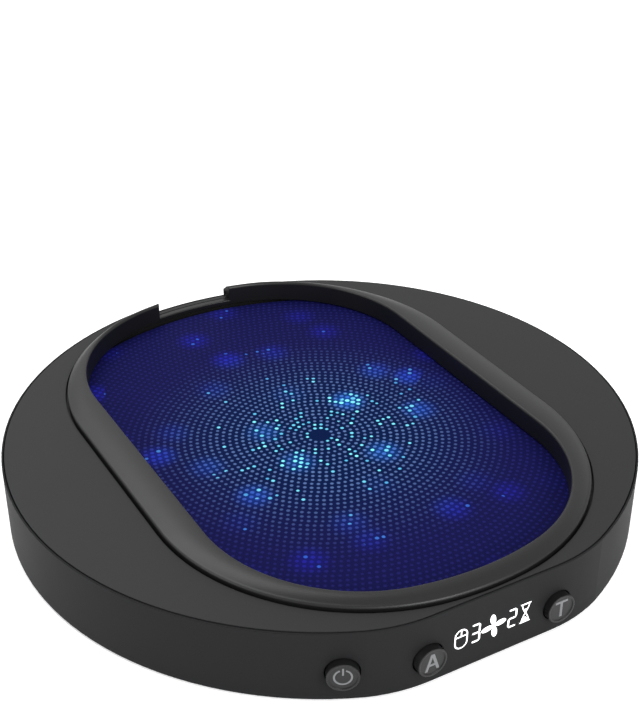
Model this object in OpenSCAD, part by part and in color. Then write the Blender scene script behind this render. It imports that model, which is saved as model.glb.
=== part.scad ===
// Mouse jiggler: a low round desk gadget. A motor turns a printed disc under the mouse.
// Millimetres, +Z up. The origin is on the turntable's axis, on the desk. The front panel faces -Y.

/* [Case] */
// Radius of the round case
case_r = 80; // [79:0.5:88]
// Height of the case from its underside to its top cover
case_h = 18.1; // [17.9:0.1:21]
// How far the flat front panel is cut in from the round
front_cut = 3.5; // [3:0.1:5]
// Radius that blends the front panel into the round
front_blend_r = 40; // [30:1:50]
// Thickness of the side wall
side_wall = 2; // [1.8:0.1:2.3]
// Thickness of the base cover
base_t = 1.6; // [1.4:0.1:1.8]
// Thickness of the top cover
cover_t = 2.2; // [1.9:0.1:2.4]
// Width of the side wall's lip round the top cover
lip_w = 0.45; // [0.35:0.05:0.6]
// Open line between the lip and the top cover
shut_gap = 0.25; // [0.15:0.05:0.35]
// Running gap that plastic parts keep from each other
part_gap = 0.2; // [0.15:0.05:0.3]

/* [Mouse well and rim] */
// Width of the mouse well
well_w = 93; // [84:0.5:96]
// Radius of the well's corners
well_corner_r = 39.7; // [34:0.1:42]
// Depth of the well from the rim's crest to the printed disc
well_depth = 6.3; // [6:0.1:6.6]
// Width of the rim beside the well
rim_side_w = 8.3; // [7:0.1:10]
// Width of the rim at the front of the well
rim_front_w = 5; // [4:0.1:7]
// Width of the rim at the back of the well
rim_back_w = 2.3; // [2.3:0.1:3]
// Radius of the rim's outer corners
rim_corner_r = 52; // [44:1:53]
// Distance from the rim's ends to the edge of the case
rim_land = 1.75; // [1.6:0.05:2.5]
// Height of the rim's crest over the top cover
rim_rise = 2.1; // [1.8:0.1:2.4]
// Height of the rim's outer edge over the top cover
rim_edge_rise = 0.9; // [0.6:0.1:1.2]
// Thickness of the rim's leg, the wall of the well
rim_leg_t = 1.8; // [1.5:0.1:2]
// Open line between the rim and the top cover
rim_gap = 0.5; // [0.3:0.05:0.6]
// Depth of the seat that the rim lies in
rim_seat = 1.2; // [1:0.1:1.3]
// Width of the cable notch in the back of the rim
notch_w = 23; // [16:0.5:30]
// Depth of the cable notch below the top cover
notch_drop = 2.3; // [1.8:0.1:2.4]

/* [Turntable] */
// Thickness of the turntable's plate
plate_t = 1.5; // [1.2:0.1:1.8]
// Thickness of the printed film
film_t = 0.2; // [0.15:0.05:0.3]
// Gap between the turntable's edge and the case
edge_gap = 0.8; // [0.6:0.1:1.2]
// Side wall left behind the turntable at the front panel
relief_wall = 1.1; // [1:0.1:1.3]
// Gap between the turntable and what stands just over or under it
turn_gap = 0.5; // [0.4:0.05:0.6]
// Radius of the spindle
spindle_r = 2.5; // [2:0.1:3]
// Wall of the bearing bush
bush_wall = 1.5; // [1.2:0.1:1.8]
// Radius of the turntable's hub
hub_r = 10; // [9.5:0.1:11]
// Radial clearance of each shaft in its bore
run_fit = 0.05; // [0.02:0.01:0.09]

/* [Gears] */
// Module of the gears that drive the turntable
table_module = 1; // [0.9:0.05:1.05]
// Teeth of the turntable's drive gear
drive_teeth = 46; // [42:1:50]
// Teeth of the reduction gear's small wheel
small_teeth = 14; // [14:1:16]
// Module of the gears at the motor
motor_module = 0.8; // [0.7:0.05:0.85]
// Teeth of the reduction gear's large wheel
large_teeth = 36; // [30:1:38]
// Teeth of the motor's pinion
pinion_teeth = 14; // [14:1:18]
// Thickness of the drive gear
drive_gear_t = 3; // [2.6:0.1:3.1]
// Thickness of the reduction gear's large wheel
large_gear_t = 2; // [1.6:0.1:2.2]
// Radius of the reduction gear's pin
pin_r = 1.25; // [1:0.05:1.5]
// Direction from the spindle to the reduction gear
gear_angle = 150; // [140:1:160]
// Direction from the reduction gear to the motor
motor_angle = 120; // [110:1:130]

/* [Motor] */
// Radius of the flat motor
motor_r = 12; // [10:0.5:12.5]
// Radius of the motor's shaft
shaft_r = 1; // [0.8:0.05:1.25]
// Thickness of the motor's mounting plate
ear_plate_t = 0.8; // [0.6:0.1:0.9]

/* [Buttons] */
// Radius of the button caps
key_r = 3.6; // [3.3:0.1:3.8]
// Open line round the button caps
key_gap = 0.3; // [0.2:0.05:0.4]
// How far the caps stand out of the wall
key_proud = 1.7; // [1.4:0.1:2.2]
// Height of the two front buttons' centres over the case's underside
key_z = 6.9; // [6.8:0.1:7.3]
// Height of the power button's centre over the case's underside
power_z = 7.5; // [7.2:0.1:7.9]
// Distance of the two front buttons from the middle of the panel
key_x = 17.2; // [16.8:0.1:18]
// Angle of the power button round the case, from the middle of the panel
power_angle = 26.4; // [25:0.1:29]
// Travel of the buttons
key_travel = 0.5; // [0.3:0.05:0.6]
// Side of the square push switches
switch_w = 6; // [5.5:0.1:6.2]
// Depth of the push switches
switch_d = 3.4; // [3:0.1:3.8]

/* [Display] */
// Height of the display's centre over the case's underside
display_z = 8.5; // [8.2:0.1:8.6]
// Height of the display's symbols
icon_h = 5.4; // [5:0.1:5.6]
// Width of the symbols' strokes
icon_stroke = 0.48; // [0.4:0.02:0.55]
// Depth of the lit inlays
inlay_t = 0.3; // [0.2:0.05:0.35]
// Skin of the panel over the display
skin_t = 0.6; // [0.55:0.05:0.8]

/* [Boards] */
// Thickness of the circuit boards
board_t = 1.2; // [1:0.1:1.6]
// Half of the width of the main board
main_half_w = 24; // [22:0.5:26]
// Length of the main board
main_len = 30; // [26:0.5:34]
// Direction of the power inlet from the right-hand side
inlet_angle = 62; // [58:1:66]
// Width of the power inlet's shell
inlet_w = 9; // [8.6:0.1:9.4]
// Height of the power inlet's shell
inlet_h = 3.2; // [3:0.1:3.5]
// Depth of the power inlet's shell
inlet_d = 7.2; // [6.5:0.1:8]

/* [Feet and screws] */
// Height of the feet under the case
foot_proud = 0.8; // [0.6:0.1:1]
// Radius of the feet
foot_r = 6; // [5:0.5:7]
// Distance of the feet from the axis
foot_ring_r = 60; // [56:1:62]
// Radius of the case screws' shanks
screw_r = 1.25; // [1:0.05:1.4]

/* [Hidden] */
$fn = 96;
cut = 0.05;             // how far a cut runs past the face that it opens
far = 200;              // longer than anything in the part
flat_y = case_r - front_cut;

// Heights over the desk
under_z = foot_proud;
floor_z = under_z + base_t;
top_z = under_z + case_h;
cover_z = top_z - cover_t;
crest_z = top_z + rim_rise;
rim_edge_z = top_z + rim_edge_rise;
seat_z = top_z - rim_seat;
notch_z = top_z - notch_drop;
film_z = crest_z - well_depth;
plate_top_z = film_z - film_t;
plate_z = plate_top_z - plate_t;
leg_z = film_z + turn_gap;
key_axis_z = under_z + key_z;
power_axis_z = under_z + power_z;
display_axis_z = under_z + display_z;

// The well and the rim, as rounded slots on the case's long axis
rim_back_y = case_r - rim_land;
rim_front_y = -(flat_y - rim_land);
rim_len_r = (rim_back_y - rim_front_y) / 2;
rim_mid_y = (rim_back_y + rim_front_y) / 2;
rim_half_w = well_w / 2 + rim_side_w;
well_back_y = rim_back_y - rim_back_w;
well_front_y = rim_front_y + rim_front_w;
well_len_r = (well_back_y - well_front_y) / 2;
well_mid_y = (well_back_y + well_front_y) / 2;
// Each slot: half length, half width, corner radius, middle
well_slot = [well_len_r, well_w / 2, well_corner_r, well_mid_y];
rim_slot = [rim_len_r, rim_half_w, rim_corner_r, rim_mid_y];
cover_inset = lip_w + shut_gap;
lip_drop = 0.15;
notch_pad_t = 1.6;
notch_pad_z = notch_z - notch_pad_t;
notch_pad_side = 1.5;
notch_pad_in = 12;      // how far inside the well's back end the pad's outline starts

// The turntable, its bearing and its gear
table_r = flat_y - relief_wall - edge_gap;
base_boss_h = 1.4;
boss_z = floor_z + base_boss_h;
washer_t = 0.5;
axial_gap = 0.1;
bush_r = spindle_r + bush_wall;
bush_z = boss_z + washer_t + axial_gap;
drive_z = bush_z + part_gap;
drive_top_z = drive_z + drive_gear_t;
spigot_r = bush_r + 1.8;
drive_screw_ring_r = (spigot_r + hub_r) / 2;
drive_screw_r = 0.8;
drive_head_r = 1.45;
drive_head_t = 1.1;
drive_screw_len = 3;    // from the drive gear into the turntable's hub
web_hole_r = 2.6;
hub_recess_r = 6.5;
hub_recess_h = 1.1;
bush_top_z = plate_top_z - hub_recess_h;
clip_t = 0.5;
clip_r = spindle_r + 1.7;
clip_z = bush_top_z + axial_gap;
spindle_top_z = clip_z + clip_t + 0.2;
socket_floor = 0.6;     // base left under a pressed-in pin
post_hole_z = floor_z - 1;      // bottoms of the screw holes in the base's posts
post_tip_z = floor_z - 0.6;     // tips of the screws in them
ear_hole_z = floor_z + 0.6;     // the same at the motor's ears
ear_tip_z = floor_z + 1;

// The gear train: the drive gear has a tooth towards the reduction gear, and so on
addendum = 0.8;
dedendum = 1.1;
pressure_angle = 20;
backlash = 0.1;
drive_pitch_r = table_module * drive_teeth / 2;
small_pitch_r = table_module * small_teeth / 2;
large_pitch_r = motor_module * large_teeth / 2;
pinion_pitch_r = motor_module * pinion_teeth / 2;
gear_pos = (drive_pitch_r + small_pitch_r) * [cos(gear_angle), sin(gear_angle)];
motor_pos = gear_pos + (large_pitch_r + pinion_pitch_r) * [cos(motor_angle), sin(motor_angle)];
gear_over = 0.2;
small_z = drive_z - gear_over;
large_z = drive_top_z + 0.7;
large_top_z = large_z + large_gear_t;
pin_clip_t = 0.5;
pin_top_z = large_top_z + axial_gap + pin_clip_t;
pinion_z = large_z - gear_over;
pinion_top_z = large_top_z + gear_over;
ear_plate_z = pinion_z - 1.3;
ear_boss_h = 0.3;
ear_ring_r = motor_r + 3.3;
ear_r = 2.8;
motor_screw_r = 0.9;
motor_head_r = 1.8;
motor_head_t = 1.1;
shaft_z = floor_z + 2.4;

// Case screws stand in bosses that hang from the side wall
case_screw_angles = [20, 112, 168, 212, 330];
boss_r = 3.4;
boss_ring_r = case_r - side_wall - boss_r - 1.2;
boss_top_z = plate_z - 0.9;
pad_z = floor_z + 1.8;
head_r = 2.4;
head_t = 1.4;
head_sink = 0.3;
thread_fit = 0.05;
screw_top_z = boss_top_z - 1.6;
ledge_w = 1.2;
ledge_t = 1.2;
tab_angles = [22, 66, 114, 158, 200, 340];
tab_w = 8;
tab_t = 1.4;
tab_nose = 0.8;
tab_len = 3;
nose_h = 0.8;
rim_screw_y = [-30, 4, 38];
rim_screw_r = 0.8;
rim_head_r = 1.6;
rim_head_t = 1.1;
foot_t = foot_proud + 0.5;
foot_angles = [45, 135, 225, 315];

// Glide pads carry the turntable's rim when a mouse leans on it
glide_angles = [82, 190, 300];
glide_ring_r = table_r - 11;
glide_pad_r = 2.6;
glide_pad_t = 1.2;
glide_gap = 0.3;
glide_post_r = 3.2;
glide_z = plate_z - glide_gap - glide_pad_t;

// Buttons: cap, flange and stem in one, then the switch's plunger
key_hole_r = key_r + key_gap;
flange_r = key_r + 0.9;
flange_t = 1;
flange_gap = 0.35;
flange_sink = 0.1;      // depth of the flat seats that the wall has behind the flanges
flange_seat_r = flange_r + 0.4;
flange_top_z = plate_z - turn_gap;  // the flanges are cut flat under the turntable
stem_r = 1.6;
stem_len = 1;
plunger_r = 1.4;
plunger_out = 1.2;
plunger_in = 0.9;
legend_t = 0.25;
key_dish_r = key_r - 0.45;
key_dish = 0.2;
switch_back = side_wall + flange_gap + flange_t + stem_len + plunger_out + switch_d;
switch_front = switch_back - switch_d;

// Boards
front_board_y = -(flat_y - switch_back);
front_half_w = key_x + switch_w / 2 + 2.2;
board_over = 0.2;       // how far a board reaches over its switches
front_board_top = key_axis_z + switch_w / 2 + board_over;
guide_w = 3;
guide_d = 3.4;
guide_h = 5;
main_z = floor_z + 1.8;
main_top_z = main_z + board_t;
main_front_y = front_board_y + (board_t + guide_d) / 2 + part_gap;  // clear of the guides
main_post_in = 3.6;
board_screw_r = 0.9;
board_head_r = 1.8;
board_head_t = 1;
board_post_r = 2.3;
header_w = 16;
header_h = 2.5;
header_d = 2.3;         // how far the header reaches onto the main board
chip_half = 3.5;
chip_t = 1.2;
chip_pins = 3;          // pins on each side of a side's middle one
pin_pitch = 0.9;
pin_w = 0.4;
pin_t = 0.25;
pin_out = 1.1;
small_part = [1.6, 1, 0.7];
part_pitch = 3;
part_edge = 9;          // from the board's edge to the outermost small parts
can_r = [2.4, 2];       // the two upright round parts
can_h = [4, 2.6];
icon_mid = [-8.9, -5.08, -0.3, 4.7, 8.25];  // middles of the five symbols along the panel
mask_x0 = icon_mid[0] - 2.9;
mask_x1 = icon_mid[4] + 2.9;
mask_top_z = plate_z - turn_gap;
mask_z = display_axis_z - icon_h / 2 - 0.9;
chamber_wall = 0.7;
inlet_z = floor_z + 5.6;
inlet_face_r = case_r - 0.35;
inlet_wall = 0.3;
inlet_board_z = inlet_z - inlet_h / 2 - board_t;
inlet_board_w = 15;
inlet_board_d = 13;
inlet_board_back = 1.6; // from the shell's mouth to the board's outer edge
inlet_post_in = 2.4;
tongue_root = 1.4;
tongue_back = 1;
tongue_t = 0.7;
lead_r = 0.6;

// ---------- plan shapes, all of true arcs ----------

// Where two arcs meet, the smaller one's centre stands this much further out, so that they cross
// at a clear angle of about two degrees and the corner between them is a sound one
arc_cross = 0.05;
// A length to two decimals, so that shapes that share a line share it exactly
function hundredths(x) = round(100 * x) / 100;

// The right-hand half of a disc, cut through its centre
module half_disc(r) {
    intersection() {
        circle(r);
        translate([0, -far]) square([far, 2 * far]);
    }
}

// The case's outline, drawn in by inset: a circle with one flat side and two blends
module case_outline(inset = 0) {
    blend_y = flat_y - front_blend_r;
    blend_x = hundredths(sqrt(pow(case_r - front_blend_r, 2) - pow(blend_y, 2))) + arc_cross;
    ray = far * [blend_x, -blend_y] / norm([blend_x, blend_y]);
    intersection() {
        circle(case_r - inset);
        union() {
            polygon([[0, 0], ray, [far, far], [-far, far], [-ray[0], ray[1]]]);
            translate([-blend_x, inset - flat_y]) square([2 * blend_x, flat_y - inset]);
            for (side = [0, 1]) mirror([side, 0]) translate([blend_x, -blend_y])
                half_disc(front_blend_r - inset);
        }
    }
}

// Centre of a slot's corner
function corner(slot) = let (x = slot[1] - slot[2])
    [x, hundredths(sqrt(pow(slot[0] - slot[2], 2) - x * x)) + arc_cross];

// A slot with round corners and slightly flattened ends, grown by grow
module slot_outline(slot, grow = 0) {
    c = corner(slot);
    ray = far * c / norm(c);
    translate([0, slot[3]]) intersection() {
        circle(slot[0] + grow);
        union() {
            square([2 * (slot[1] + grow), 2 * c[1]], center = true);
            for (end = [0, 1]) mirror([0, end]) {
                polygon([[0, 0], ray, [-ray[0], ray[1]]]);
                for (side = [-1, 1]) translate([side * c[0], c[1]]) rotate(90)
                    half_disc(slot[2] + grow);
            }
        }
    }
}

// The same outline as a closed list of points, counted round from the middle of one end. Points
// of the same number on two slots face the same way.
round_steps = 20;
side_steps = 2;
quarter_steps = round_steps + side_steps;
function quarter_point(slot, grow, i) = let (c = corner(slot), turn = 90 * i / round_steps,
        way = [sin(turn), cos(turn)])
    i > round_steps ? [slot[1] + grow, c[1] * (quarter_steps - i) / side_steps]
    : turn < atan2(c[0], c[1]) ? (slot[0] + grow) * way
    : c + (slot[2] + grow) * way;
function slot_points(slot, grow) = let (q = quarter_steps) [for (i = [0:4 * q - 1])
    let (k = i % q, side = floor(i / q),
        p = quarter_point(slot, grow, side % 2 == 0 ? k : q - k))
    [side < 2 ? p[0] : -p[0], (side == 0 || side == 3 ? p[1] : -p[1]) + slot[3]]];

module rounded_slot(w, h) {
    square([w - h, h], center = true);
    for (x = [-1, 1]) translate([x * (w - h) / 2, 0]) circle(h / 2);
}

// A closed ring swept round from equal lists of points, one list for each line of its section
module swept_ring(lines) {
    n = len(lines[0]);
    m = len(lines);
    polyhedron(
        points = [for (j = [0:m - 1]) each lines[j]],
        faces = [for (j = [0:m - 1], i = [0:n - 1])
            let (a = j * n + i, b = j * n + (i + 1) % n, c = ((j + 1) % m) * n + (i + 1) % n,
                d = ((j + 1) % m) * n + i)
            each [[a, b, c], [a, c, d]]]);
}

// A spur gear's outline with involute flanks and short teeth, one tooth pointing at phase
function involute(a) = tan(a) * 180 / PI - a;
module gear_outline(teeth, module_size, phase) {
    pitch = teeth * module_size / 2;
    base = pitch * cos(pressure_angle);
    root = pitch - dedendum * module_size;
    tip = pitch + addendum * module_size;
    half = 90 / teeth - backlash / pitch * 90 / PI + involute(pressure_angle);
    radii = [root, max(base, root) + 0.01, (pitch + base) / 2, (pitch + tip) / 2, tip];
    flank = [for (r = radii) [r, half - (r > base ? involute(acos(base / r)) : 0)]];
    n = len(flank);
    polygon([for (k = [0:teeth - 1], j = [0:2 * n - 1])
        let (f = j < n ? flank[j] : flank[2 * n - 1 - j],
            a = phase + k * 360 / teeth + (j < n ? -f[1] : f[1]))
        f[0] * [cos(a), sin(a)]]);
}

// Placements
module around(angles, r) {
    for (a = angles) rotate([0, 0, a]) translate([r, 0, 0]) children();
}
module raised(z) {
    translate([0, 0, z]) children();
}
module slab(z0, z1) {
    raised(z0) linear_extrude(z1 - z0) children();
}
module disc(r, z0, z1) {
    raised(z0) cylinder(r = r, h = z1 - z0);
}
module box(x, y, z) {
    translate([x[0], y[0], z[0]]) cube([x[1] - x[0], y[1] - y[0], z[1] - z[0]]);
}
// Puts a button's parts in place: their +Z points out of the wall, from its outer face
module at_front(x) {
    translate([x, -flat_y, key_axis_z]) rotate([90, 0, 0]) children();
}
module at_power() {
    rotate([0, 0, -power_angle]) translate([0, -case_r, power_axis_z]) rotate([90, 0, 0]) children();
}
// Puts the inlet's parts in place: +X points out of the wall
module at_inlet() {
    rotate([0, 0, inlet_angle]) children();
}

// ---------- case ----------

// A button's hole in the wall, with the flat seat behind it
module key_hole() {
    disc(key_hole_r, -side_wall - 1, 1);
    disc(flange_seat_r, -side_wall - 1, flange_sink - side_wall);
}

module side_housing() {
    color("#2b2b2d") difference() {
        union() {
            difference() {
                slab(under_z, top_z - lip_drop) case_outline();
                slab(under_z - cut, cover_z) case_outline(side_wall);
                slab(cover_z - cut, top_z + cut) case_outline(lip_w);
            }
            difference() {
                slab(floor_z, floor_z + ledge_t) case_outline(side_wall - cut);
                slab(floor_z - cut, floor_z + ledge_t + cut) case_outline(side_wall + ledge_w);
                for (x = [-key_x, key_x]) at_front(x) disc(flange_seat_r, -switch_back, 0);
                at_power() disc(flange_seat_r, -switch_back, 0);
            }
            around(case_screw_angles, boss_ring_r) {
                disc(boss_r, pad_z, boss_top_z);
                box([0, case_r - side_wall - boss_ring_r + 0.3], [-boss_r / 2, boss_r / 2],
                    [pad_z, boss_top_z]);
            }
        }
        around(case_screw_angles, boss_ring_r) disc(screw_r + thread_fit, pad_z - cut, screw_top_z);
        // the ledge makes way for the base cover's screw pads
        around(case_screw_angles, boss_ring_r) disc(boss_r + part_gap, floor_z - cut, pad_z);
        for (x = [-key_x, key_x]) at_front(x) key_hole();
        at_power() key_hole();
        // the turntable's edge passes behind the front panel
        disc(table_r + edge_gap, plate_z - turn_gap, film_z + turn_gap);
        box([mask_x0 - part_gap, mask_x1 + part_gap], [-flat_y + skin_t, -flat_y + side_wall + cut],
            [mask_z - part_gap, mask_top_z + part_gap]);
        display_plane(inlay_t + cut) icon_shapes();
        // cable notch, and the lowered ledge that carries the cover's notch pad
        box([-notch_w / 2, notch_w / 2], [0, far], [notch_z, top_z + 1]);
        difference() {
            box([-1, 1] * (notch_w / 2 + notch_pad_side + part_gap), [0, far], [notch_pad_z, top_z]);
            difference() {
                slab(notch_pad_z - 1, top_z + 1) case_outline(-1);
                slab(notch_pad_z - 2, top_z + 2) case_outline(lip_w);
            }
        }
        around(tab_angles, case_r - side_wall - cut)
            box([0, tab_nose + cut + part_gap], [-1, 1] * (tab_w / 2 + part_gap),
                [cover_z - tab_len, cover_z - tab_len + nose_h + 2 * part_gap]);
        at_inlet() translate([case_r, 0, inlet_z]) rotate([90, 0, -90])
            raised(-1) linear_extrude(side_wall + 2) rounded_slot(inlet_w + 2 * part_gap,
                inlet_h + 2 * part_gap);
    }
}

module base_cover() {
    color("#262628") difference() {
        union() {
            slab(under_z, floor_z) case_outline(side_wall + part_gap);
            around(case_screw_angles, boss_ring_r) disc(boss_r, floor_z - cut, pad_z);
            disc(hub_r - 2, floor_z - cut, boss_z);
            translate(gear_pos) disc(pin_r + 2, floor_z - cut, small_z - axial_gap);
            around(glide_angles, glide_ring_r) disc(glide_post_r, floor_z - cut, glide_z);
            at_motor_ears() disc(ear_r, floor_z - cut, ear_plate_z);
            at_main_posts() disc(board_post_r, floor_z - cut, main_z);
            at_inlet_posts() disc(board_post_r, floor_z - cut, inlet_board_z);
            for (side = [-1, 1]) board_guide([side * front_half_w, front_board_y]);
            at_power() power_board_guides();
        }
        around(case_screw_angles, boss_ring_r) {
            disc(screw_r + part_gap, under_z - cut, pad_z + cut);
            disc(head_r + part_gap, under_z - cut, under_z + head_t + head_sink);
        }
        around(foot_angles, foot_ring_r) disc(foot_r + thread_fit, 0, foot_t);
        disc(spindle_r, under_z + socket_floor, boss_z + cut);
        translate(gear_pos) disc(pin_r, under_z + socket_floor, small_z);
        at_motor_ears() disc(motor_screw_r + thread_fit, ear_hole_z, ear_plate_z + cut);
        at_main_posts() disc(board_screw_r + thread_fit, post_hole_z, main_z + cut);
        at_inlet_posts() disc(board_screw_r + thread_fit, post_hole_z, inlet_board_z + cut);
    }
}

// A slotted block on the base that holds the end of an upright board
module board_guide(at) {
    translate([at[0], at[1], 0]) difference() {
        box([-guide_w / 2, guide_w / 2], [board_t / 2 - guide_d / 2, board_t / 2 + guide_d / 2],
            [floor_z - cut, floor_z + guide_h]);
        box([-guide_w, guide_w], [-thread_fit, board_t + thread_fit], [floor_z, floor_z + guide_h + 1]);
    }
}
power_board_half = switch_w / 2 + 1.4;
module power_board_guides() {
    for (side = [-1, 1]) translate([side * power_board_half, 0, -switch_back]) difference() {
        box([-1, 1] * guide_w / 2 * 0.8, [-cut, guide_h] + [1, 1] * (floor_z - power_axis_z),
            [-board_t / 2 - guide_d / 2, -board_t / 2 + guide_d / 2]);
        box([-guide_w, guide_w], [floor_z - power_axis_z, far], [-board_t - thread_fit, thread_fit]);
    }
}
module at_motor_ears() {
    for (side = [-1, 1]) translate(motor_pos) rotate([0, 0, motor_angle + side * 90])
        translate([ear_ring_r, 0, 0]) children();
}
module at_main_posts() {
    for (x = [-1, 1], y = [main_front_y + main_post_in, main_front_y + main_len - main_post_in])
        translate([x * (main_half_w - main_post_in), y, 0]) children();
}
module at_inlet_posts() {
    at_inlet() for (side = [-1, 1])
        translate([inlet_face_r - inlet_board_back - inlet_board_d + inlet_post_in,
            side * (inlet_board_w / 2 - inlet_post_in), 0]) children();
}

module top_cover() {
    color("#3d3d3f") difference() {
        union() {
            slab(cover_z, top_z) case_outline(cover_inset);
            intersection() {
                slab(notch_pad_z, notch_z) case_outline(cover_inset);
                box([-1, 1] * (notch_w / 2 + notch_pad_side), [0, far], [0, top_z]);
                // only the part that lies on the wall's ledge and reaches in to the rim's leg
                box([-far, far], [well_back_y - notch_pad_in, far], [0, top_z]);
            }
            around(tab_angles, case_r - side_wall) {
                box([-part_gap - tab_t, -part_gap], [-tab_w / 2, tab_w / 2],
                    [cover_z - tab_len + part_gap, cover_z + cut]);
                box([-part_gap - cut, tab_nose], [-tab_w / 2, tab_w / 2],
                    [cover_z - tab_len + part_gap, cover_z - tab_len + part_gap + nose_h]);
            }
        }
        slab(0, far) slot_outline(well_slot, rim_leg_t + part_gap);
        slab(seat_z, top_z + cut) slot_outline(rim_slot, rim_gap);
        box([-notch_w / 2, notch_w / 2], [0, far], [notch_z, top_z + 1]);
        at_rim_screws() disc(rim_screw_r + part_gap / 2, cover_z - 1, top_z);
    }
}

module at_rim_screws() {
    for (side = [-1, 1], y = rim_screw_y)
        translate([side * (well_w / 2 + rim_leg_t + (rim_side_w - rim_leg_t) / 2), y, 0]) children();
}

// The raised rim: a leg that walls the well, and a shoulder that falls to the outer edge
crest_round = 0.8;      // radius of the crest's inner edge
edge_bevel = 0.5;
shoulder = [0.25, 0.5, 0.75, 0.9];
rim_fall = crest_z - rim_edge_z;
function at_height(points, z) = [for (p = points) [p[0], p[1], z]];
function crest_line(a) = at_height(slot_points(well_slot, crest_round * (1 - cos(a))),
    crest_z - crest_round * (1 - sin(a)));
function shoulder_line(u) = let (a = slot_points(well_slot, crest_round),
    b = slot_points(rim_slot, -edge_bevel))
    at_height([for (i = [0:len(a) - 1]) a[i] * (1 - u) + b[i] * u], crest_z - rim_fall * u * u);
module rim_bezel() {
    color("#3a3a3c") difference() {
        swept_ring(concat(
            [at_height(slot_points(well_slot, 0), leg_z)],
            [for (a = [0:22.5:67.5]) crest_line(a)],
            [for (u = concat([0], shoulder, [1])) shoulder_line(u)],
            [at_height(slot_points(rim_slot, 0), rim_edge_z - edge_bevel),
                at_height(slot_points(rim_slot, 0), seat_z),
                at_height(slot_points(well_slot, rim_leg_t), seat_z),
                at_height(slot_points(well_slot, rim_leg_t), leg_z)]));
        box([-notch_w / 2, notch_w / 2], [0, far], [notch_z, crest_z + 1]);
        at_rim_screws() disc(rim_screw_r + thread_fit, seat_z - cut, top_z + 0.3);
    }
}

module pan_screw(shank_r, head, z_head, z_seat, z_tip) {
    disc(head, min(z_head, z_seat), max(z_head, z_seat));
    disc(shank_r, min(z_seat, z_tip), max(z_seat, z_tip));
}
module rim_screws() {
    color("#8d8f92") at_rim_screws()
        pan_screw(rim_screw_r, rim_head_r, cover_z - rim_head_t, cover_z, top_z + 0.1);
}
module case_screws() {
    color("#55575a") around(case_screw_angles, boss_ring_r) difference() {
        pan_screw(screw_r, head_r, under_z + head_sink, under_z + head_sink + head_t,
            screw_top_z - 0.4);
        cross_slot(under_z + head_sink - cut, 0.8, 2.6);
    }
}
module cross_slot(z, depth, len) {
    for (a = [0, 90]) rotate([0, 0, a])
        box([-len / 2, len / 2], [-0.3, 0.3], [z, z + depth]);
}
module rubber_feet() {
    color("#1c1c1c") around(foot_angles, foot_ring_r) disc(foot_r, 0, foot_t);
}

// ---------- turntable ----------

module turntable() {
    color("#17172e") difference() {
        union() {
            disc(table_r, plate_z, plate_top_z);
            disc(hub_r, drive_top_z, plate_z + cut);
            disc(spigot_r, drive_z, drive_top_z + cut);
        }
        disc(bush_r, drive_z - cut, plate_top_z + cut);
        disc(hub_recess_r, bush_top_z, plate_top_z + cut);
        around([0, 120, 240], drive_screw_ring_r)
            disc(drive_screw_r + thread_fit, drive_top_z - cut, plate_z);
    }
}
module turntable_film() {
    color("#1f1e56") disc(table_r, plate_top_z, film_z);
}
module hub_bush() {
    color("#b08d4a") difference() {
        disc(bush_r, bush_z, bush_top_z);
        disc(spindle_r + run_fit, bush_z - cut, bush_top_z + cut);
    }
}
module drive_gear() {
    color("#e6e2d6") difference() {
        slab(drive_z, drive_top_z) gear_outline(drive_teeth, table_module, gear_angle);
        disc(spigot_r + thread_fit, drive_z - cut, drive_top_z + cut);
        around([0, 120, 240], drive_screw_ring_r) {
            disc(drive_screw_r + part_gap / 2, drive_z - cut, drive_top_z + cut);
            disc(drive_head_r + part_gap / 2, drive_z - cut, drive_z + drive_head_t);
        }
        around([30, 90, 150, 210, 270, 330], (hub_r + drive_pitch_r) / 2)
            disc(web_hole_r, drive_z - cut, drive_top_z + cut);
    }
}
module drive_gear_screws() {
    color("#9a9c9f") around([0, 120, 240], drive_screw_ring_r)
        pan_screw(drive_screw_r, drive_head_r, drive_z + 0.1, drive_z + drive_head_t,
            drive_top_z + drive_screw_len);
}
module spindle() {
    color("#c9cbce") difference() {
        disc(spindle_r, under_z + socket_floor, spindle_top_z);
        difference() {
            disc(spindle_r + 1, clip_z, clip_z + clip_t);
            disc(spindle_r - 0.5, clip_z - 1, clip_z + clip_t + 1);
        }
    }
}
module thrust_washer() {
    color("#d8d4c2") difference() {
        disc(bush_r + 1.2, boss_z, boss_z + washer_t);
        disc(spindle_r + run_fit, boss_z - cut, boss_z + washer_t + cut);
    }
}
module spindle_clip() {
    color("#a7a9ac") difference() {
        disc(clip_r, clip_z, clip_z + clip_t);
        disc(spindle_r - 0.5, clip_z - cut, clip_z + clip_t + cut);
        box([0, clip_r + 1], [-1, 1] * (spindle_r - 0.9), [clip_z - cut, clip_z + clip_t + cut]);
    }
}
module glide_pads() {
    color("#ece9df") around(glide_angles, glide_ring_r)
        disc(glide_pad_r, glide_z, glide_z + glide_pad_t);
}

// ---------- gear train and motor ----------

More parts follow.
